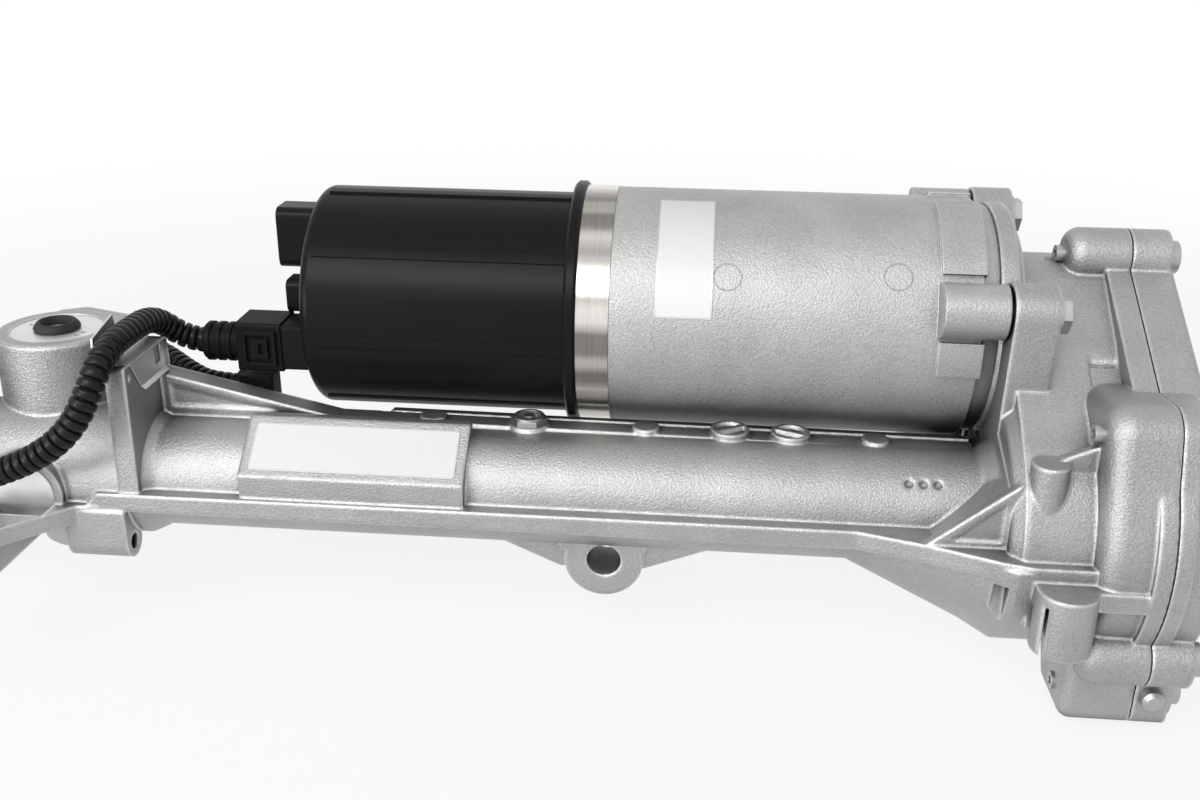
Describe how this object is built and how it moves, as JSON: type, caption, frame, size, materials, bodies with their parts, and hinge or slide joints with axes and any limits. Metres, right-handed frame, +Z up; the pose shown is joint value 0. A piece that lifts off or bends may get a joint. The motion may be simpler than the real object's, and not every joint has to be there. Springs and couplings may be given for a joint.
{
  "type": "electric power steering rack",
  "caption": "Electric steering rack: cast housing with belt-driven ball-screw motor, control unit, pinion tower and jointed tie rods.",
  "frame": {"origin": "middle of the centre mounting ear's bore", "axes": "+X along the rack bar towards the belt drive, -Y towards the side the picture shows, +Z up along the pinion"},
  "size_m": [1.08, 0.1759, 0.1835],
  "materials": {
    "cast_aluminium": "sand-like cast skin",
    "motor_aluminium": "smooth cast skin",
    "machined_aluminium": "machined",
    "zinc_steel": "zinc plated",
    "steel": "ground",
    "spring_steel": "dull grey",
    "stainless_band": "brushed",
    "core_steel": "laminated",
    "satin_plastic": "satin",
    "matt_plastic": "matt",
    "conduit_plastic": "matt, corrugated",
    "black_rubber": "matt",
    "bearing_plastic": "smooth",
    "board": "coated",
    "label_film": "satin film"
  },
  "bodies": {
    "housing": {"rack_housing": "cast_aluminium", "gear_housing_cover": "cast_aluminium", "cover_gasket": "black_rubber", "cover_bolts": "zinc_steel", "cover_plug": "zinc_steel", "motor_bolts": "zinc_steel", "motor_housing": "motor_aluminium", "motor_end_shield": "machined_aluminium", "motor_bearings": "steel", "stator": "core_steel", "drive_belt": "black_rubber", "nut_bearing": "steel", "rack_bushing": "bearing_plastic", "torque_sensor": "matt_plastic", "pinion_upper_bearing": "steel", "pinion_lower_bearing": "steel", "pinion_cap": "machined_aluminium", "input_seal": "black_rubber", "yoke": "bearing_plastic", "yoke_spring": "spring_steel", "yoke_plug": "machined_aluminium", "crest_plug": "zinc_steel", "housing_label": "label_film", "motor_label": "label_film", "steel_band": "stainless_band", "ecu_flange": "satin_plastic", "ecu_board": "board", "ecu_cover": "satin_plastic", "power_connector": "satin_plastic", "aux_connector": "satin_plastic", "signal_header": "matt_plastic", "signal_plug": "matt_plastic", "conduit_adaptor": "matt_plastic", "sensor_connector": "matt_plastic", "cable_clip": "spring_steel", "harness_conduit": "conduit_plastic", "bellows_clamps": "spring_steel", "left_bellows": "black_rubber", "right_bellows": "black_rubber"},
    "rotor": {"motor_shaft": "steel", "rotor": "core_steel", "motor_pulley": "steel"},
    "nut": {"ball_nut": "steel", "nut_balls": "steel", "driven_pulley": "steel"},
    "rack": {"rack_bar": "steel", "left_ball_housing": "steel", "right_ball_housing": "steel"},
    "pinion": {"pinion_shaft": "steel", "torsion_bar": "steel"},
    "input": {"input_shaft": "steel", "sensor_magnet": "matt_plastic"},
    "left_seat": {"left_ball_seat": "bearing_plastic"},
    "right_seat": {"right_ball_seat": "bearing_plastic"},
    "left_rod": {"left_tie_rod": "steel", "left_rod_clamp": "spring_steel"},
    "right_rod": {"right_tie_rod": "steel", "right_rod_clamp": "spring_steel"}
  },
  "joints": [
    {"name": "motor_spin", "type": "hinge", "parent": "housing", "child": "rotor", "pos_m": [0, 0.055, 0.0885], "axis": [1, 0, 0], "range_deg": [-10519.5, 10519.5]},
    {"name": "nut_turn", "type": "hinge", "parent": "housing", "child": "nut", "pos_m": [0, 0, 0.0265], "axis": [1, 0, 0], "range_deg": [-3860, 3860]},
    {"name": "rack_slide", "type": "slide", "parent": "housing", "child": "rack", "axis": [1, 0, 0], "range_m": [-0.0752, 0.0752], "deforming": ["left_bellows", "right_bellows"]},
    {"name": "pinion_turn", "type": "hinge", "parent": "housing", "child": "pinion", "pos_m": [-0.233, 0.0155, 0.0265], "axis": [0, 0, 1], "range_deg": [-539, 539]},
    {"name": "input_twist", "type": "hinge", "parent": "pinion", "child": "input", "pos_m": [-0.233, 0.0155, 0.0665], "axis": [0, 0, 1], "range_deg": [-4, 4], "stiffness_Nm_per_rad": 115},
    {"name": "left_seat_turn", "type": "hinge", "parent": "rack", "child": "left_seat", "pos_m": [-0.386, 0, 0.0265], "axis": [0, 0, 1], "range_deg": [-18, 18]},
    {"name": "right_seat_turn", "type": "hinge", "parent": "rack", "child": "right_seat", "pos_m": [0.386, 0, 0.0265], "axis": [0, 0, 1], "range_deg": [-18, 18]},
    {"name": "left_rod_tilt", "type": "hinge", "parent": "left_seat", "child": "left_rod", "pos_m": [-0.386, 0, 0.0265], "axis": [0, 1, 0], "range_deg": [-18, 18]},
    {"name": "right_rod_tilt", "type": "hinge", "parent": "right_seat", "child": "right_rod", "pos_m": [0.386, 0, 0.0265], "axis": [0, 1, 0], "range_deg": [-18, 18]}
  ],
  "couplings": [
    {"joint": "nut_turn", "follows": "motor_spin", "ratio": 0.36667},
    {"joint": "rack_slide", "follows": "motor_spin", "m_per_rad": -0.0004085},
    {"joint": "pinion_turn", "follows": "motor_spin", "ratio": -0.051062}
  ]
}
